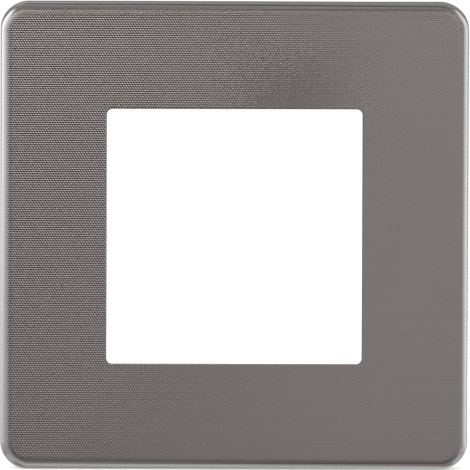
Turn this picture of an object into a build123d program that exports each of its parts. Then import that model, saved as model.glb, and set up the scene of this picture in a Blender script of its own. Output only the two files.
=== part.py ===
from build123d import *

import os

# Cover frame for one flush wall box, with a square opening for a 45 mm modular device.
# Lengths are millimetres. The frame stands as it is fitted: +Z up, the face towards -Y, and the
# origin at the centre of the wall plane that it lies against.

# Outline seen from the front
plate_side = 83.0
corner_radius = 4.9
device_side = 45.0
device_clearance = 0.12
opening_radius = 1.0

# Pressed sheet metal front
plate_depth = 9.0
sheet = 0.6
rim_radius = 2.0
skirt_depth = 4.0
back_edge_radius = 0.25
lip_length = 52.0
lip_reach = 0.7
lip_end_angle = 60.0

# Gaps between the metal and the plastic
nest_clearance = 0.15
seat_clearance = 0.1
lip_clearance = 0.15
opening_setback = 0.5

# Moulded plastic carrier
band_inset = 0.1
carrier_wall = 1.6
web = 1.6
collar_wall = 1.4
collar_length = 3.8
rib = 1.0
rib_height = 2.0
rib_pitch = 20.0
rib_count = 4
back_chamfer = 0.3

# Snap arms that catch in the mounting support, each on a foot that is sunk in the web
clip_distance = 32.0
clip_pitch = 40.0
clip_width = 7.0
clip_thickness = 1.3
clip_end_gap = 0.5
clip_barb = 0.7
clip_lead = 1.4
clip_root_radius = 0.6
clip_foot = 0.8

# Notch in the lower edge for the screwdriver that lifts the frame off
pry_width = 10.0
pry_height = 1.4

# Heights above the wall plane, measured towards the room
wall = Plane.XZ
sheet_back = plate_depth - sheet
skirt_back = plate_depth - skirt_depth
web_back = sheet_back - web
shoulder = skirt_back - seat_clearance

# Sides and corners of the nested outlines
opening_side = device_side + 2 * device_clearance
nest_offset = sheet + nest_clearance
nest_side = plate_side - 2 * nest_offset
nest_radius = corner_radius - nest_offset
band_side = plate_side - 2 * band_inset
band_radius = corner_radius - band_inset
cavity_side = nest_side - 2 * carrier_wall
cavity_radius = nest_radius - carrier_wall
carrier_opening_side = opening_side + 2 * opening_setback
carrier_opening_radius = opening_radius + opening_setback
collar_side = carrier_opening_side + 2 * collar_wall
collar_radius = carrier_opening_radius + collar_wall


def lip_plan(clearance=0.0):
    """Draw the four folded lips, seen from the front, grown by a clearance for the grooves they lie in."""
    reach = sheet + lip_reach + clearance
    with PolarLocations(plate_side / 2 - reach / 2, 4):
        Trapezoid(lip_length + 2 * clearance, reach, lip_end_angle, rotation=90)


# Front: a drawn tray with a rounded rim, punched opening and lips folded in along its back edge
with BuildPart() as front_plate:
    with BuildSketch(wall.offset(skirt_back)):
        RectangleRounded(plate_side, plate_side, corner_radius)
    extrude(amount=skirt_depth)
    fillet(front_plate.faces().sort_by(Axis.Y)[0].edges(), radius=rim_radius)
    offset(amount=-sheet, openings=front_plate.faces().sort_by(Axis.Y)[-1])
    with BuildSketch(wall.offset(skirt_back)):
        lip_plan()
    extrude(amount=sheet)
    back_face = front_plate.faces().sort_by(Axis.Y)[-1]
    fillet(back_face.outer_wire().edges(), radius=back_edge_radius)
    with BuildSketch(wall.offset(plate_depth)):
        RectangleRounded(opening_side, opening_side, opening_radius)
    extrude(amount=-skirt_depth, mode=Mode.SUBTRACT)

# Carrier: a shell that nests in the tray, with a wider band behind the metal that stands on the wall
with BuildPart() as carrier_frame:
    with BuildSketch(wall):
        RectangleRounded(nest_side, nest_side, nest_radius)
    extrude(amount=sheet_back)
    nest_edge_radius = rim_radius - sheet + nest_clearance
    fillet(carrier_frame.faces().sort_by(Axis.Y)[0].edges(), radius=nest_edge_radius)
    with BuildSketch(wall):
        RectangleRounded(band_side, band_side, band_radius)
    extrude(amount=shoulder)
    chamfer(carrier_frame.faces().sort_by(Axis.Y)[-1].edges(), length=back_chamfer)
    with BuildSketch(wall):
        RectangleRounded(cavity_side, cavity_side, cavity_radius)
    extrude(amount=web_back, mode=Mode.SUBTRACT)

    # Grooves that the folded lips of the metal lie in
    with BuildSketch(wall.offset(shoulder)):
        lip_plan(lip_clearance)
    extrude(amount=seat_clearance + sheet + lip_clearance, mode=Mode.SUBTRACT)

    # Stiffening ribs on the back of the web, crossing in the corners
    with BuildSketch(wall.offset(web_back - rib_height)):
        with GridLocations(rib_pitch, 0, rib_count, 1):
            Rectangle(rib, cavity_side)
        with GridLocations(0, rib_pitch, 1, rib_count):
            Rectangle(cavity_side, rib)
    extrude(amount=rib_height)

    # Collar that guides the device, and the opening through it
    with BuildSketch(wall.offset(web_back - collar_length)):
        RectangleRounded(collar_side, collar_side, collar_radius)
    extrude(amount=collar_length)
    with BuildSketch(wall):
        RectangleRounded(carrier_opening_side, carrier_opening_side, carrier_opening_radius)
    extrude(amount=plate_depth, mode=Mode.SUBTRACT)

    # One snap arm, then its mirror images: a flexible blade with a barb that faces outwards
    clip_outer = clip_distance + clip_thickness
    barb_front = clip_end_gap + clip_lead
    foot = web_back + web / 2
    with BuildSketch(Plane.XY.offset(clip_pitch / 2)) as clip_profile:
        with BuildLine():
            Polyline(
                (clip_distance - clip_foot, -foot),
                (clip_distance - clip_foot, -web_back),
                (clip_distance, -web_back),
                (clip_distance, -clip_end_gap),
                (clip_distance + clip_thickness / 2, -clip_end_gap),
                (clip_outer + clip_barb, -barb_front),
                (clip_outer, -barb_front - clip_barb),
                (clip_outer, -web_back),
                (clip_outer + clip_foot, -web_back),
                (clip_outer + clip_foot, -foot),
                close=True,
            )
        make_face()
        roots = clip_profile.vertices().filter_by_position(Axis.Y, -web_back, -web_back)
        fillet(roots.sort_by(Axis.X)[1:3], radius=clip_root_radius)
    extrude(amount=clip_width / 2, both=True)
    mirror(about=Plane.XY)
    mirror(about=Plane.YZ)

    # Notch in the lower edge, open to the wall
    with BuildSketch(wall):
        with Locations((0, -band_side / 2)):
            Rectangle(pry_width, band_side - cavity_side)
    extrude(amount=pry_height, mode=Mode.SUBTRACT)

front_plate.part.label = "front_plate"
carrier_frame.part.label = "carrier_frame"
export_step(front_plate.part, "parts/front_plate.step")
export_step(carrier_frame.part, "parts/carrier_frame.step")
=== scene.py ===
"""Looks and studio for a square metal-faced cover frame with a fine dot relief.

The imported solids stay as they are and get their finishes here. What this file adds is the relief
that the rolls press into the sheet before it is drawn, and the marks that the carrier's mould
leaves. Lengths in the classes are millimetres, as a maker would give them, and METRE turns them to
metres.
"""

import logging
import math
from dataclasses import dataclass, field
from enum import Enum

import bpy
import numpy as np
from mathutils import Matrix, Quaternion, Vector


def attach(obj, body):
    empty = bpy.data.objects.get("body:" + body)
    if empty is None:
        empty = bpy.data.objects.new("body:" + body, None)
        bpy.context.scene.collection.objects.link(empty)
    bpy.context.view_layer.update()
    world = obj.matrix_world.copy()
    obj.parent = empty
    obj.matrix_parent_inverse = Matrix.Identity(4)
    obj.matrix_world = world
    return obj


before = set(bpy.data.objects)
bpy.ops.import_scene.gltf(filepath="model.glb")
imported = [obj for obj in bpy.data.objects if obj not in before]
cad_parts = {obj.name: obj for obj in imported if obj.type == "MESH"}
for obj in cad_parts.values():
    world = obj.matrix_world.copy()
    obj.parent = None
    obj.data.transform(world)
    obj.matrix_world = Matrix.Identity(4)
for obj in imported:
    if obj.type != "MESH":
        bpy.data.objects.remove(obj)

METRE = 0.001
QUARTER_TURN = math.pi / 2
WHITE = "#ffffff"
# Tint of the cards that the rim mirrors, which looks a little cooler than the face
COOL_WHITE = "#f0fcff"
# Far under any length here, so that it only keeps a division by zero away
TINY = 1e-12
# Sockets of a Mix node that mixes two colours
MIX_A, MIX_B, MIX_RESULT = 6, 7, 2

log = logging.getLogger("switch_plate")


class Slot(Enum):
    """The record's material slots, by name."""

    METAL = "textured_metal"
    PLASTIC = "carrier_plastic"


def linear(colour: str) -> tuple[float, float, float, float]:
    """Turns an sRGB hex colour to the linear values that the shaders work in.

    Args:
        colour: Six hex digits, with or without a leading hash.

    Returns:
        Red, green, blue and a full alpha, all linear.
    """
    digits = colour.lstrip("#")
    values = [int(digits[i : i + 2], 16) / 255 for i in (0, 2, 4)]
    low, divisor, offset, gamma = 0.04045, 12.92, 0.055, 2.4
    red, green, blue = (
        v / divisor if v <= low else ((v + offset) / (1 + offset)) ** gamma for v in values
    )
    return red, green, blue, 1.0


def ends_round(middle: float, spread: float) -> dict[str, float]:
    """Gives the output ends of a Map Range node for a spread round a middle value."""
    return {"To Min": middle - spread / 2, "To Max": middle + spread / 2}


def add_node(
    tree: bpy.types.NodeTree,
    kind: str,
    links: dict[str | int, bpy.types.NodeSocket] | None = None,
    values: dict[str | int, object] | None = None,
    **settings: object,
) -> bpy.types.Node:
    """Adds one node to a tree, with its settings, fixed inputs and links.

    Args:
        tree: The node tree that takes the node.
        kind: Blender's name for the node's type.
        links: Output sockets to join, by the name or number of the input each goes to.
        values: Values for unlinked inputs, by name or number.
        **settings: The node's own properties.

    Returns:
        The new node.
    """
    node = tree.nodes.new(kind)
    for name, value in settings.items():
        setattr(node, name, value)
    for name, value in (values or {}).items():
        node.inputs[name].default_value = value
    for name, socket in (links or {}).items():
        tree.links.new(socket, node.inputs[name])
    return node


def new_material(name: str) -> tuple[bpy.types.Material, bpy.types.NodeTree]:
    """Makes an empty node material.

    Args:
        name: The material's name.

    Returns:
        The material and its cleared node tree.
    """
    material = bpy.data.materials.new(name)
    material.use_nodes = True
    material.node_tree.nodes.clear()
    return material, material.node_tree


def four_sided(name: str, middle: Vector, across: Vector, up: Vector) -> bpy.types.Mesh:
    """Makes a mesh of one flat four-sided face.

    Args:
        name: The mesh's name.
        middle: The face's centre.
        across: The way from the centre to the middle of its right edge.
        up: The way from the centre to the middle of its upper edge.

    Returns:
        The mesh.
    """
    ways = ((-1, -1), (1, -1), (1, 1), (-1, 1))
    mesh = bpy.data.meshes.new(name)
    mesh.from_pydata([middle + across * i + up * j for i, j in ways], [], [(0, 1, 2, 3)])
    return mesh


@dataclass(frozen=True)
class AnodisedAluminium:
    """Rolled aluminium sheet, anodised and dyed a warm titanium grey.

    The thin oxide layer gives the eye a satin metal: soft mirror highlights on the rim and on each
    dot, and a faintly varying dye. The hollows between the dots are duller than the crowns, and
    painted shade makes them a little darker. The grain of an etched sheet is finer than a pixel, so
    it is drawn 0.25 mm wide, as coarse as it needs to show.
    """

    name: str = "anodised_aluminium"
    crown_dye: str = "#847e7c"
    crown_dye_light: str = "#87817f"
    # Painted shade: the colour of the hollows between the dots, darker than the crowns
    hollow_painted_shade: str = "#716b6a"
    cloud_size: float = 14.0
    cloud_detail: float = 2.0
    grain_size: float = 0.25
    grain_detail: float = 1.0
    roughness: float = 0.23
    roughness_spread: float = 0.05
    crown_polish: float = 0.03

    def build(self) -> bpy.types.Material:
        """Makes the material.

        Returns:
            The finished material.
        """
        material, tree = new_material(self.name)
        place = add_node(tree, "ShaderNodeTexCoord").outputs["Object"]
        clouds = add_node(
            tree,
            "ShaderNodeTexNoise",
            {"Vector": place},
            {"Scale": 1 / (self.cloud_size * METRE), "Detail": self.cloud_detail},
        )
        dye = add_node(
            tree,
            "ShaderNodeMix",
            {"Factor": clouds.outputs["Fac"]},
            {MIX_A: linear(self.crown_dye), MIX_B: linear(self.crown_dye_light)},
            data_type="RGBA",
        )
        crown = add_node(tree, "ShaderNodeAttribute", attribute_name="crown")
        # Painted shade: the hollows between the dots are coloured darker, by each point's share of
        # its dome's rise
        dye_with_hollow_shade = add_node(
            tree,
            "ShaderNodeMix",
            {"Factor": crown.outputs["Fac"], MIX_B: dye.outputs[MIX_RESULT]},
            {MIX_A: linear(self.hollow_painted_shade)},
            data_type="RGBA",
        )
        grain = add_node(
            tree,
            "ShaderNodeTexNoise",
            {"Vector": place},
            {"Scale": 1 / (self.grain_size * METRE), "Detail": self.grain_detail},
        )
        satin = add_node(
            tree,
            "ShaderNodeMapRange",
            {"Value": grain.outputs["Fac"]},
            ends_round(self.roughness, self.roughness_spread),
        )
        polish = add_node(
            tree,
            "ShaderNodeMath",
            {0: crown.outputs["Fac"], 2: satin.outputs["Result"]},
            {1: -self.crown_polish},
            operation="MULTIPLY_ADD",
        )
        metal = add_node(
            tree,
            "ShaderNodeBsdfPrincipled",
            {"Base Color": dye_with_hollow_shade.outputs[MIX_RESULT], "Roughness": polish.outputs["Value"]},
            {"Metallic": 1.0},
        )
        add_node(tree, "ShaderNodeOutputMaterial", {"Surface": metal.outputs["BSDF"]})
        return material


@dataclass(frozen=True)
class MouldedABS:
    """Injection moulded ABS in dark grey, from a spark-eroded mould.

    The mould's fine grit shows as a dull, even sparkle that keeps any highlight broad and weak.
    Real grit is finer than 0.1 mm. It is drawn 0.35 mm wide, as coarse as it needs to show.
    """

    name: str = "moulded_abs"
    colour: str = "#37363a"
    colour_light: str = "#3d3c3f"
    cloud_size: float = 9.0
    cloud_detail: float = 3.0
    grit_size: float = 0.35
    grit_detail: float = 2.0
    grit_roughness: float = 0.6
    grit_depth: float = 0.02
    grit_strength: float = 0.5
    roughness: float = 0.55
    roughness_spread: float = 0.12
    ior: float = 1.54

    def build(self) -> bpy.types.Material:
        """Makes the material.

        Returns:
            The finished material.
        """
        material, tree = new_material(self.name)
        place = add_node(tree, "ShaderNodeTexCoord").outputs["Object"]
        clouds = add_node(
            tree,
            "ShaderNodeTexNoise",
            {"Vector": place},
            {"Scale": 1 / (self.cloud_size * METRE), "Detail": self.cloud_detail},
        )
        colour = add_node(
            tree,
            "ShaderNodeMix",
            {"Factor": clouds.outputs["Fac"]},
            {MIX_A: linear(self.colour), MIX_B: linear(self.colour_light)},
            data_type="RGBA",
        )
        grit = add_node(
            tree,
            "ShaderNodeTexNoise",
            {"Vector": place},
            {
                "Scale": 1 / (self.grit_size * METRE),
                "Detail": self.grit_detail,
                "Roughness": self.grit_roughness,
            },
        )
        dull = add_node(
            tree,
            "ShaderNodeMapRange",
            {"Value": grit.outputs["Fac"]},
            ends_round(self.roughness, self.roughness_spread),
        )
        bump = add_node(
            tree,
            "ShaderNodeBump",
            {"Height": grit.outputs["Fac"]},
            {"Strength": self.grit_strength, "Distance": self.grit_depth * METRE},
        )
        plastic = add_node(
            tree,
            "ShaderNodeBsdfPrincipled",
            {
                "Base Color": colour.outputs[MIX_RESULT],
                "Roughness": dull.outputs["Result"],
                "Normal": bump.outputs["Normal"],
            },
            {"Metallic": 0.0, "IOR": self.ior},
        )
        add_node(tree, "ShaderNodeOutputMaterial", {"Surface": plastic.outputs["BSDF"]})
        return material


def rounded_square(
    points: np.ndarray, half: float, radius: float
) -> tuple[np.ndarray, np.ndarray]:
    """Measures points on a plane against a square with rounded corners.

    Args:
        points: Points on the plane, one a row.
        half: Half the square's side.
        radius: Its corner radius.

    Returns:
        Each point's distance from the outline, negative inside, and the way straight out from it.
    """
    past = np.abs(points) - (half - radius)
    outside = np.maximum(past, 0.0)
    reach = np.linalg.norm(outside, axis=1)
    distance = reach + np.minimum(past.max(axis=1), 0.0) - radius
    side = np.eye(2)[past.argmax(axis=1)]
    away = np.where(reach[:, None] > 0, outside / np.maximum(reach, TINY)[:, None], side)
    return distance, away * np.where(points < 0, -1.0, 1.0)


@dataclass
class Domes:
    """Low domes on the unrolled sheet, as one mesh.

    Every point has its height over the sheet, and its share of its dome's rise, from 0 at the foot
    to 1 on the crown.
    """

    points: np.ndarray
    height: np.ndarray
    crown: np.ndarray
    faces: list[list[int]]


@dataclass
class PressedSheet:
    """The drawn metal front and the dots that are rolled into it.

    The dots are laid out on the flat sheet and then follow it over the rim and down the skirt. Each
    is a low dome on its own six-sided cell, and the cells meet in narrow valleys. Drawing stretches
    the sheet round the rim, and that flattens the dots there, from flatten_from to flatten_to past
    the flat of the face. The valleys lie a hair over the solid, at lift, and where the sheet ends
    the cut cells are sunk into it.
    """

    side: float = 83.0
    corner_radius: float = 4.9
    rim_radius: float = 2.0
    depth: float = 9.0
    skirt_back: float = 5.0
    back_edge_radius: float = 0.25
    opening_side: float = 45.24
    opening_radius: float = 1.0
    dot_pitch: float = 0.4635
    row_spacing: float = 0.3966
    dot_height: float = 0.08
    rim_dot_height: float = 0.015
    flatten_from: float = 0.55
    flatten_to: float = 1.4
    lift: float = 0.006
    sink: float = 0.02
    node: str = "front_plate"

    @property
    def flat_half(self) -> float:
        """Half the side of the flat part of the face."""
        return self.side / 2 - self.rim_radius

    @property
    def flat_radius(self) -> float:
        """The corner radius of the flat part of the face."""
        return self.corner_radius - self.rim_radius

    @property
    def arc(self) -> float:
        """The length of sheet that lies round the rim."""
        return QUARTER_TURN * self.rim_radius

    @property
    def edge(self) -> float:
        """How far the dots go on past the flat, measured along the sheet."""
        skirt = self.depth - self.rim_radius - self.skirt_back - self.back_edge_radius
        return self.arc + skirt

    @property
    def blank_half(self) -> float:
        """Half the side of the flat blank that the dots are laid out on."""
        return self.flat_half + self.edge + self.dot_pitch

    @property
    def cell_reach(self) -> float:
        """How far a cell's corners lie from its dot at most."""
        return float(np.linalg.norm(self.cell(), axis=1).max())

    def cell(self) -> np.ndarray:
        """Draws the six-sided cell round a dot, which is nearer to it than to any other.

        Returns:
            The cell's six corners, measured from its dot.
        """
        half, row = self.dot_pitch / 2, self.row_spacing
        flank = (row**2 - half**2) / (2 * row)
        tip = (row**2 + half**2) / (2 * row)
        return np.array(
            [(half, -flank), (half, flank), (0, tip), (-half, flank), (-half, -flank), (0, -tip)]
        )

    def dots(self) -> np.ndarray:
        """Lays the dots out in rows on the blank, every second row half a pitch along.

        Returns:
            The dots' centres on the unrolled sheet.
        """
        last_row = math.ceil(self.blank_half / self.row_spacing)
        last_place = math.ceil(self.blank_half / self.dot_pitch)
        rows = np.arange(-last_row, last_row + 1)
        places = np.arange(-last_place, last_place + 1)
        along, up = np.meshgrid(places, rows)
        across = (along + (up % 2) / 2) * self.dot_pitch
        return np.column_stack([across.ravel(), (up * self.row_spacing).ravel()])

    def dot_tops(self, past: np.ndarray) -> np.ndarray:
        """Works out how high each dot stands.

        Args:
            past: How far past the flat of the face each dot lies, negative on it.

        Returns:
            The dots' heights.
        """
        stretch = (past - self.flatten_from) / (self.flatten_to - self.flatten_from)
        stretch = np.clip(stretch, 0.0, 1.0)
        return self.dot_height + (self.rim_dot_height - self.dot_height) * stretch

    def wrap(self, points: np.ndarray, height: np.ndarray) -> np.ndarray:
        """Lays points of the unrolled sheet on the drawn one.

        Args:
            points: Points on the unrolled sheet, one a row.
            height: How far each stands out from the sheet.

        Returns:
            Their places in the frame of the solids, in metres.
        """
        distance, away = rounded_square(points, self.flat_half, self.flat_radius)
        past = np.maximum(distance, 0.0)
        turn = np.minimum(past, self.arc) / self.rim_radius
        skirt = np.maximum(past - self.arc, 0.0)
        plan = points - away * past[:, None]
        plan = plan + away * ((self.rim_radius + height) * np.sin(turn))[:, None]
        front = self.depth - self.rim_radius + (self.rim_radius + height) * np.cos(turn) - skirt
        return np.column_stack([plan[:, 0], -front, plan[:, 1]]) * METRE

    def trim(
        self, corners: np.ndarray, through: np.ndarray, keep: np.ndarray
    ) -> tuple[np.ndarray, np.ndarray]:
        """Cuts a cell along a straight line.

        Args:
            corners: The cell's corners in order.
            through: A point on the line.
            keep: The direction of the side that stays.

        Returns:
            The corners that are left, and for each whether it lies on the cut.
        """
        ahead = (corners - through) @ keep
        left, cut = [], []
        for i, corner in enumerate(corners):
            j = (i + 1) % len(corners)
            if ahead[i] >= 0:
                left.append(corner)
                cut.append(False)
            if (ahead[i] >= 0) != (ahead[j] >= 0):
                share = ahead[i] / (ahead[i] - ahead[j])
                left.append(corner + share * (corners[j] - corner))
                cut.append(True)
        return np.array(left), np.array(cut)

    def whole_domes(self, centres: np.ndarray, tops: np.ndarray) -> Domes:
        """Builds the dots that have their whole cell.

        Args:
            centres: The dots' centres.
            tops: How high each dot stands.

        Returns:
            The domes, each a fan of triangles round its crown.
        """
        cell = self.cell()
        sides, size, count = len(cell), len(cell) + 1, len(centres)
        ring = centres[:, None, :] + cell[None, :, :]
        points = np.concatenate([centres[:, None, :], ring], axis=1).reshape(-1, 2)
        crown = np.tile([1.0] + [0.0] * sides, count)
        height = self.lift + np.repeat(tops, size) * crown
        first = np.arange(count)[:, None, None] * size
        fan = np.array([[0, 1 + k, 1 + (k + 1) % sides] for k in range(sides)])
        return Domes(points, height, crown, (first + fan[None]).reshape(-1, 3).tolist())

    def cut_domes(
        self,
        centres: np.ndarray,
        tops: np.ndarray,
        hole: tuple[np.ndarray, np.ndarray],
        outer: np.ndarray,
        start: int,
    ) -> Domes:
        """Builds the dots whose cell is cut by the opening or by the sheet's outer edge.

        Args:
            centres: The dots' centres.
            tops: How high each dot stands.
            hole: Each dot's distance from the opening, and the way straight out from it.
            outer: Each dot's distance from the outer edge, negative inside.
            start: The number of the first point.

        Returns:
            The domes, cut straight and sunk into the sheet along the cut.
        """
        cell, reach = self.cell(), self.cell_reach
        edge_outline = (self.flat_half + self.edge, self.flat_radius + self.edge)
        points, height, crown, faces = [], [], [], []
        for centre, peak, gap, away, over in zip(centres, tops, *hole, outer):
            through, keep = centre - away * gap, away
            if over > -reach:
                distance, out = rounded_square(centre[None], *edge_outline)
                through, keep = centre - out[0] * distance[0], -out[0]
            corners, on_cut = self.trim(centre + cell, through, keep)
            size = len(corners)
            if size < 3:
                continue
            middle = centre if over < 0 and gap > 0 else corners.mean(axis=0)
            rise = peak * max(0.0, 1 - (np.linalg.norm(middle - centre) / reach) ** 2)
            first = start + len(points)
            points.extend([middle, *corners])
            height.extend([self.lift + rise, *np.where(on_cut, -self.sink, self.lift)])
            crown.extend([rise / peak, *[0.0] * size])
            faces.extend([first, first + 1 + k, first + 1 + (k + 1) % size] for k in range(size))
        return Domes(np.array(points).reshape(-1, 2), np.array(height), np.array(crown), faces)

    def relief(self, name: str, over_rim: bool, material: bpy.types.Material) -> bpy.types.Object:
        """Builds the dots of the flat face, or those of the rim and skirt, as one piece.

        Args:
            name: The piece's name.
            over_rim: Whether to build the rim's and skirt's dots rather than the face's.
            material: The metal that the dots are made of.

        Returns:
            The finished piece.
        """
        centres, reach = self.dots(), self.cell_reach
        past, _ = rounded_square(centres, self.flat_half, self.flat_radius)
        gap, away = rounded_square(centres, self.opening_side / 2, self.opening_radius)
        tops, outer = self.dot_tops(past), past - self.edge
        mine = (past > 0) == over_rim
        full = mine & (gap > reach) & (outer < -reach)
        part = mine & ~full & (gap > -reach) & (outer < reach)
        whole = self.whole_domes(centres[full], tops[full])
        hole = (gap[part], away[part])
        cut = self.cut_domes(centres[part], tops[part], hole, outer[part], len(whole.points))
        flat = np.concatenate([whole.points, cut.points])
        height = np.concatenate([whole.height, cut.height])
        crown = np.concatenate([whole.crown, cut.crown])

        mesh = bpy.data.meshes.new(name)
        mesh.from_pydata(self.wrap(flat, height).tolist(), [], whole.faces + cut.faces)
        mesh.polygons.foreach_set("use_smooth", np.ones(len(mesh.polygons), bool))
        mesh.attributes.new("crown", "FLOAT", "POINT").data.foreach_set("value", crown)
        corner_of = np.empty(len(mesh.loops), np.int32)
        mesh.loops.foreach_get("vertex_index", corner_of)
        unrolled = mesh.uv_layers.new(name="OFBake")
        blank_side = 2 * self.blank_half
        unrolled.data.foreach_set("uv", (flat[corner_of] / blank_side + 0.5).ravel())
        mesh.materials.append(material)
        mesh.update()
        piece = bpy.data.objects.new(name, mesh)
        bpy.context.scene.collection.objects.link(piece)
        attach(piece, "root")
        return piece

    def build(self, metal: AnodisedAluminium) -> list[bpy.types.Object]:
        """Dresses the drawn sheet and adds its relief.

        Args:
            metal: The sheet's finish.

        Returns:
            The pieces that were added.
        """
        material = metal.build()
        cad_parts[self.node].data.materials[0] = material
        return [
            self.relief("face_relief", False, material),
            self.relief("rim_relief", True, material),
        ]


@dataclass
class Carrier:
    """The moulded frame behind the metal, with the marks that its ejector pins and gate leave.

    A pin leaves a shallow disc with a fine raised ring, where it met the mould's steel, and the
    gate leaves a low stub where the plastic was let in. The profiles give each ring's share of the
    mark's radius and of its rise, from the rim inwards.
    """

    web_back: float = 6.8
    pin_radius: float = 2.0
    pin_rise: float = 0.12
    pin_place: float = 34.8
    pin_profile: tuple[tuple[float, float], ...] = (
        (0.97, 0.8), (0.92, 1.0), (0.87, 0.8), (0.82, 0.25),
    )
    gate_radius: float = 0.8
    gate_rise: float = 0.45
    gate_place: tuple[float, float] = (0.0, -34.8)
    gate_profile: tuple[tuple[float, float], ...] = ((0.8, 0.8), (0.6, 1.0))
    sunk: float = 0.05
    segments: int = 48
    node: str = "carrier_frame"

    def rings(
        self, radius: float, rise: float, profile: tuple[tuple[float, float], ...]
    ) -> list[tuple[float, float]]:
        """Gives the radius and the height above the web of each ring of a mark.

        Args:
            radius: The mark's radius where it meets the web.
            rise: How far it stands out.
            profile: Each further ring's share of the radius and of the rise.

        Returns:
            The rings, from one that is sunk into the web to the innermost.
        """
        return [(radius, -self.sunk), *((radius * near, rise * up) for near, up in profile)]

    def turned(
        self, rings: list[tuple[float, float]], place: tuple[float, float], start: int
    ) -> tuple[list[tuple[float, float, float]], list[tuple[int, ...]]]:
        """Turns a mark's profile round a line that stands on the back of the web.

        Args:
            rings: Radius and height above the web of each ring, from the rim to the middle.
            place: Where the line meets the web, in x and z.
            start: The number of the first vertex.

        Returns:
            The vertices, in metres, and the faces.
        """
        points = []
        for radius, rise in rings:
            for k in range(self.segments):
                angle = 2 * math.pi * k / self.segments
                x, z = place[0] + radius * math.cos(angle), place[1] + radius * math.sin(angle)
                points.append((x * METRE, (rise - self.web_back) * METRE, z * METRE))
        faces = []
        for ring in range(len(rings) - 1):
            near, far = start + ring * self.segments, start + (ring + 1) * self.segments
            for k in range(self.segments):
                after = (k + 1) % self.segments
                faces.append((near + k, far + k, far + after, near + after))
        last = start + (len(rings) - 1) * self.segments
        faces.append(tuple(last + k for k in reversed(range(self.segments))))
        return points, faces

    def piece(
        self,
        name: str,
        rings: list[tuple[float, float]],
        places: list[tuple[float, float]],
        material: bpy.types.Material,
    ) -> bpy.types.Object:
        """Builds one kind of mark at all its places.

        Args:
            name: The piece's name.
            rings: Radius and height above the web of each ring, from the rim to the middle.
            places: Where the marks lie, in x and z.
            material: The plastic.

        Returns:
            The finished piece.
        """
        points, faces = [], []
        for place in places:
            more_points, more_faces = self.turned(rings, place, len(points))
            points.extend(more_points)
            faces.extend(more_faces)
        mesh = bpy.data.meshes.new(name)
        mesh.from_pydata(points, [], faces)
        # Only the turned faces are smooth, and a mark's middle stays flat
        mesh.polygons.foreach_set("use_smooth", [len(face) < self.segments for face in faces])
        mesh.materials.append(material)
        mesh.update()
        mark = bpy.data.objects.new(name, mesh)
        bpy.context.scene.collection.objects.link(mark)
        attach(mark, "root")
        return mark

    def build(self, plastic: MouldedABS) -> list[bpy.types.Object]:
        """Dresses the carrier and adds the mould's marks.

        Args:
            plastic: The carrier's finish.

        Returns:
            The pieces that were added.
        """
        material = plastic.build()
        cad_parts[self.node].data.materials[0] = material
        ways = (-self.pin_place, 0.0, self.pin_place)
        taken = ((0.0, 0.0), self.gate_place)
        spots = [(x, z) for x in ways for z in ways if (x, z) not in taken]
        pin = self.rings(self.pin_radius, self.pin_rise, self.pin_profile)
        gate = self.rings(self.gate_radius, self.gate_rise, self.gate_profile)
        return [
            self.piece("ejector_marks", pin, spots, material),
            self.piece("gate_stub", gate, [self.gate_place], material),
        ]


@dataclass
class Softbox:
    """One soft lamp, which only lights and is never seen by the camera itself."""

    name: str
    centre: tuple[float, float, float]
    towards: tuple[float, float, float]
    width: float
    height: float
    power: float
    colour: str = WHITE

    def build(self) -> bpy.types.Object:
        """Makes the lamp.

        Returns:
            The lamp.
        """
        data = bpy.data.lights.new(self.name, "AREA")
        data.shape = "RECTANGLE"
        data.size, data.size_y = self.width * METRE, self.height * METRE
        data.energy = self.power
        data.color = linear(self.colour)[:3]
        lamp = bpy.data.objects.new(self.name, data)
        lamp.location = Vector(self.centre) * METRE
        aim = (Vector(self.towards) - Vector(self.centre)).normalized()
        lamp.rotation_mode = "QUATERNION"
        lamp.rotation_quaternion = aim.to_track_quat("-Z", "Y")
        lamp.visible_camera = lamp.visible_glossy = False
        bpy.context.scene.collection.objects.link(lamp)
        return lamp


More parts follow.
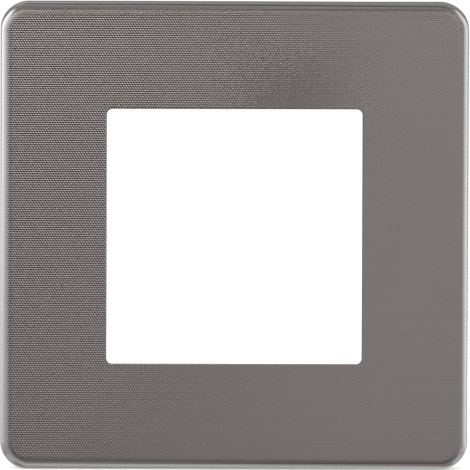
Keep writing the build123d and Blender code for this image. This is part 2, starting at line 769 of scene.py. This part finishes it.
@dataclass
class Card:
    """A card that only reflections see, as a photographer uses to shade or lighten bare metal.

    It reaches from its centre by across and by up, both ways. Its tone runs along across, from one
    edge to the opposite one, and its borders fade out. Its cover runs the same way over the first
    cover_run of its width. Where that is below 1 the card is a veil, which lets what stands behind
    it show.
    """

    name: str
    centre: tuple[float, float, float]
    across: tuple[float, float, float]
    up: tuple[float, float, float]
    tone: tuple[float, float]
    fade: float
    cover: tuple[float, float] = (1.0, 1.0)
    cover_run: float = 1.0
    colour: str = WHITE

    def build(self) -> bpy.types.Object:
        """Makes the card.

        Returns:
            The card.
        """
        middle, across, up = (Vector(v) * METRE for v in (self.centre, self.across, self.up))
        mesh = four_sided(self.name, middle, across, up)
        unit = mesh.uv_layers.new(name="unit")
        unit.data.foreach_set("uv", [0, 0, 1, 0, 1, 1, 0, 1])
        mesh.materials.append(self.paint())
        card = bpy.data.objects.new(self.name, mesh)
        for ray in ("camera", "diffuse", "shadow", "transmission", "volume_scatter"):
            setattr(card, f"visible_{ray}", False)
        bpy.context.scene.collection.objects.link(card)
        return card

    def paint(self) -> bpy.types.Material:
        """Makes the card's glow, with its tone, cover and faded borders.

        Returns:
            The finished material.
        """
        material, tree = new_material(self.name)
        place = add_node(tree, "ShaderNodeUVMap", uv_map="unit")
        split = add_node(tree, "ShaderNodeSeparateXYZ", {"Vector": place.outputs["UV"]})
        tone = add_node(
            tree,
            "ShaderNodeMapRange",
            {"Value": split.outputs["X"]},
            {"To Min": self.tone[0], "To Max": self.tone[1]},
            interpolation_type="SMOOTHSTEP",
        )
        # The distance from the nearest border, as a share of the card, folds back at its middle
        fold = 0.5
        inward = []
        for axis in "XY":
            mirror = add_node(
                tree, "ShaderNodeMath", {0: split.outputs[axis]}, {1: fold}, operation="PINGPONG"
            )
            inward.append(mirror.outputs["Value"])
        nearest = add_node(
            tree, "ShaderNodeMath", {0: inward[0], 1: inward[1]}, operation="MINIMUM"
        )
        body = add_node(
            tree,
            "ShaderNodeMapRange",
            {"Value": nearest.outputs["Value"]},
            {"From Max": self.fade},
            interpolation_type="SMOOTHSTEP",
        )
        cover = add_node(
            tree,
            "ShaderNodeMapRange",
            {"Value": split.outputs["X"]},
            {"From Max": self.cover_run, "To Min": self.cover[0], "To Max": self.cover[1]},
        )
        opaque = add_node(
            tree,
            "ShaderNodeMath",
            {0: body.outputs["Result"], 1: cover.outputs["Result"]},
            operation="MULTIPLY",
            use_clamp=True,
        )
        glow = add_node(
            tree,
            "ShaderNodeEmission",
            {"Strength": tone.outputs["Result"]},
            {"Color": linear(self.colour)},
        )
        clear = add_node(tree, "ShaderNodeBsdfTransparent")
        both = add_node(
            tree,
            "ShaderNodeMixShader",
            {0: opaque.outputs["Value"], 1: clear.outputs["BSDF"], 2: glow.outputs["Emission"]},
        )
        add_node(tree, "ShaderNodeOutputMaterial", {"Surface": both.outputs["Shader"]})
        return material


def face_cards() -> list[Card]:
    """Lays out what the flat face and its dots mirror.

    The face mirrors the dark card in front, and each dot's flanks catch the two bright ones. The
    veils take that contrast away towards the lower right, and the smudge dims it just above the
    opening. The last card shades the rows of dots next to the top rim.

    Returns:
        The cards.
    """
    return [
        Card(
            "front_dark", (0, -1010, 0), (800, 0, 0), (0, 0, 800),
            tone=(0.13, 0.13), fade=0.02,
        ),
        Card(
            "front_bright", (100, -1000, 440), (97, 0, 209), (-660, 0, 305),
            tone=(5.0, 5.0), fade=0.1,
        ),
        Card(
            "veil_left", (46, -60, 10), (80, 0, 0), (0, 0, 70),
            tone=(0.95, 0.95), fade=0.01, cover=(-0.3, 0.52), cover_run=0.27,
        ),
        Card(
            "veil_right", (34, -62, 10), (110, 0, 0), (56, 0, 70),
            tone=(0.9, 1.0), fade=0.01, cover=(-0.55, 1.7),
        ),
        Card(
            "smudge", (12, -22, 26), (13, 0, 0), (0, 0, 13),
            tone=(0.0, 0.0), fade=0.5, cover=(0.3, 0.3),
        ),
        Card(
            "front_left", (-760, -1000, 400), (200, 0, 0), (0, 0, 250),
            tone=(6.0, 6.0), fade=0.15,
        ),
        Card(
            "edge_top", (0, -18, 47.5), (45, 0, 0), (0, 0, 4.5),
            tone=(0.2, 0.2), fade=0.1, cover=(0.8, 0.8),
        ),
    ]


def side_cards() -> list[Card]:
    """Lays out what the left and right of the rim mirror, with a veil each for the lower corners.

    Returns:
        The cards.
    """
    return [
        Card(
            "panel_left", (-300, -85, 110), (0, 225, 0), (0, -160, 300),
            tone=(2.0, 7.2), fade=0.1, colour=COOL_WHITE,
        ),
        Card(
            "panel_right", (300, -20, 110), (0, 150, 0), (0, -118, 300),
            tone=(2.6, 4.8), fade=0.1, colour=COOL_WHITE,
        ),
        Card(
            "low_left", (-200, -60, -40), (0, 0, -90), (0, 240, 0),
            tone=(1.6, 1.6), fade=0.01, cover=(0.0, 1.25), colour=COOL_WHITE,
        ),
        Card(
            "low_right", (200, 0, -100), (0, 0, -60), (0, 200, 0),
            tone=(1.9, 1.9), fade=0.01, cover=(0.0, 1.3), colour=COOL_WHITE,
        ),
    ]


def lower_cards() -> list[Card]:
    """Lays out what the bottom of the rim and its corners mirror: shade in front, light behind.

    Returns:
        The cards.
    """
    return [
        Card(
            "below_dark", (0, -230, -190), (0, 145, 0), (300, 0, 0),
            tone=(0.7, 0.25), fade=0.04,
        ),
        Card(
            "below_left", (-190, -60, -186), (0, 210, 0), (70, 0, 0),
            tone=(1.9, 2.0), fade=0.15, colour=COOL_WHITE,
        ),
        Card(
            "below_right", (190, 30, -186), (0, 115, 0), (70, 0, 0),
            tone=(2.3, 1.9), fade=0.15, colour=COOL_WHITE,
        ),
        Card(
            "below_light", (0, 15, -188), (0, 70, 0), (250, 290, 0),
            tone=(2.5, 1.9), fade=0.12, colour=COOL_WHITE,
        ),
    ]


def upper_cards() -> list[Card]:
    """Lays out what the top of the rim mirrors, in strips from the face's edge to the skirt.

    Returns:
        The cards.
    """
    return [
        Card(
            "above_shade", (0, -130, 191), (0, 75, 0), (235, 0, 0),
            tone=(0.65, 0.65), fade=0.1,
        ),
        Card(
            "above_strip", (85, -125, 189), (0, 14, 0), (215, 0, 0),
            tone=(2.4, 2.4), fade=0.2,
        ),
        Card(
            "above_dark", (27, -22, 178), (0, 18, 0), (-207, 175, 0),
            tone=(0.0, 0.0), fade=0.1,
        ),
        Card(
            "above_light", (27, -56, 178), (0, 16, 0), (-207, 175, 0),
            tone=(1.7, 1.7), fade=0.1, colour=COOL_WHITE,
        ),
        Card(
            "above_left", (-60, 115, 140), (45, 0, 0), (0, 65, 0),
            tone=(2.4, 2.4), fade=0.5, colour=COOL_WHITE,
        ),
        Card(
            "above_back", (0, 260, 119), (0, 240, -71), (300, 0, 0),
            tone=(1.1, 0.0), fade=0.03,
        ),
        Card(
            "behind_top", (0, 50, 51), (60, 0, 0), (0, 0, 10),
            tone=(0.2, 0.2), fade=0.1,
        ),
    ]


@dataclass
class Studio:
    """The pale floor, the white surroundings, the lamps and the camera.

    A backdrop of strength 1 shows white. The fill is what the surroundings give as light.
    """

    floor_half: float = 6000.0
    floor_level: float = -41.58
    floor_colour: str = "#f4f3f2"
    floor_glow: float = 0.42
    fill: float = 0.75
    backdrop: float = 1.0
    softboxes: list[Softbox] = field(
        default_factory=lambda: [
            Softbox("lamp_left", (-450, -350, 300), (0, -5, 0), 400, 400, 2.5),
            Softbox("lamp_right", (450, -250, 250), (0, -5, 0), 400, 400, 1.5),
        ]
    )
    cards: list[Card] = field(
        default_factory=lambda: [*face_cards(), *side_cards(), *lower_cards(), *upper_cards()]
    )
    distance: float = 1600.0
    frame_width: float = 83.29
    elevation: float = 3.8
    azimuth: float = -0.4
    roll: float = 0.19
    aim: tuple[float, float, float] = (0.117, -9.0, 0.293)
    sensor: float = 36.0
    nearest_seen: float = 100.0
    farthest_seen: float = 100000.0

    def background_rays(self, tree: bpy.types.NodeTree) -> bpy.types.NodeSocket:
        """Tells the rays that show a background: camera, mirror and see-through ones.

        Args:
            tree: The node tree to work in.

        Returns:
            A socket that is 1 for such rays and 0 for the rest.
        """
        path = add_node(tree, "ShaderNodeLightPath").outputs
        either = add_node(
            tree,
            "ShaderNodeMath",
            {0: path["Is Camera Ray"], 1: path["Is Glossy Ray"]},
            operation="MAXIMUM",
        )
        any_of = add_node(
            tree,
            "ShaderNodeMath",
            {0: either.outputs["Value"], 1: path["Is Transmission Ray"]},
            operation="MAXIMUM",
        )
        return any_of.outputs["Value"]

    def build_world(self) -> None:
        """Makes surroundings that show white and light the object at a plain level."""
        world = bpy.data.worlds.new("studio_white")
        world.use_nodes = True
        tree = world.node_tree
        tree.nodes.clear()
        strength = add_node(
            tree,
            "ShaderNodeMix",
            {"Factor": self.background_rays(tree)},
            {"A": self.fill, "B": self.backdrop},
        )
        white = add_node(
            tree,
            "ShaderNodeBackground",
            {"Strength": strength.outputs["Result"]},
            {"Color": linear(WHITE)},
        )
        add_node(tree, "ShaderNodeOutputWorld", {"Surface": white.outputs["Background"]})
        bpy.context.scene.world = world

    def build_floor(self) -> bpy.types.Object:
        """Makes the floor of pale seamless paper.

        Returns:
            The floor.
        """
        half, middle = self.floor_half * METRE, Vector((0, 0, self.floor_level)) * METRE
        mesh = four_sided("floor", middle, Vector((half, 0, 0)), Vector((0, half, 0)))
        material, tree = new_material("seamless_paper")
        paper = add_node(
            tree, "ShaderNodeBsdfDiffuse", values={"Color": linear(self.floor_colour)}
        )
        glow = add_node(
            tree,
            "ShaderNodeMath",
            {0: self.background_rays(tree)},
            {1: self.floor_glow},
            operation="MULTIPLY",
        )
        light = add_node(
            tree,
            "ShaderNodeEmission",
            {"Strength": glow.outputs["Value"]},
            {"Color": linear(self.floor_colour)},
        )
        both = add_node(
            tree, "ShaderNodeAddShader", {0: paper.outputs["BSDF"], 1: light.outputs["Emission"]}
        )
        add_node(tree, "ShaderNodeOutputMaterial", {"Surface": both.outputs["Shader"]})
        mesh.materials.append(material)
        floor = bpy.data.objects.new("floor", mesh)
        bpy.context.scene.collection.objects.link(floor)
        floor.visible_glossy = False
        return floor

    def build_camera(self) -> bpy.types.Object:
        """Places the camera where the photograph was taken from.

        Returns:
            The camera.
        """
        data = bpy.data.cameras.new("camera")
        data.sensor_width = self.sensor
        data.lens = self.sensor * self.distance / self.frame_width
        data.clip_start, data.clip_end = self.nearest_seen * METRE, self.farthest_seen * METRE
        around, above = math.radians(self.azimuth), math.radians(self.elevation)
        back = Vector(
            (
                math.sin(around) * math.cos(above),
                -math.cos(around) * math.cos(above),
                math.sin(above),
            )
        )
        camera = bpy.data.objects.new("camera", data)
        camera.location = (Vector(self.aim) + back * self.distance) * METRE
        camera.rotation_mode = "QUATERNION"
        level = (-back).to_track_quat("-Z", "Y")
        camera.rotation_quaternion = level @ Quaternion((0, 0, 1), math.radians(self.roll))
        bpy.context.scene.collection.objects.link(camera)
        bpy.context.scene.camera = camera
        return camera

    def build(self) -> None:
        """Sets up everything round the object."""
        bpy.context.scene.view_settings.view_transform = "Standard"
        self.build_world()
        self.build_floor()
        self.build_camera()
        for item in [*self.softboxes, *self.cards]:
            item.build()


def main() -> None:
    """Builds the pieces and the studio."""
    logging.basicConfig(level=logging.INFO, format="%(name)s: %(message)s")
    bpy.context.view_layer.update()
    pieces = PressedSheet().build(AnodisedAluminium()) + Carrier().build(MouldedABS())
    for piece in pieces:
        log.info("%s: %d faces", piece.name, len(piece.data.polygons))
    Studio().build()


if __name__ == "__main__":
    main()
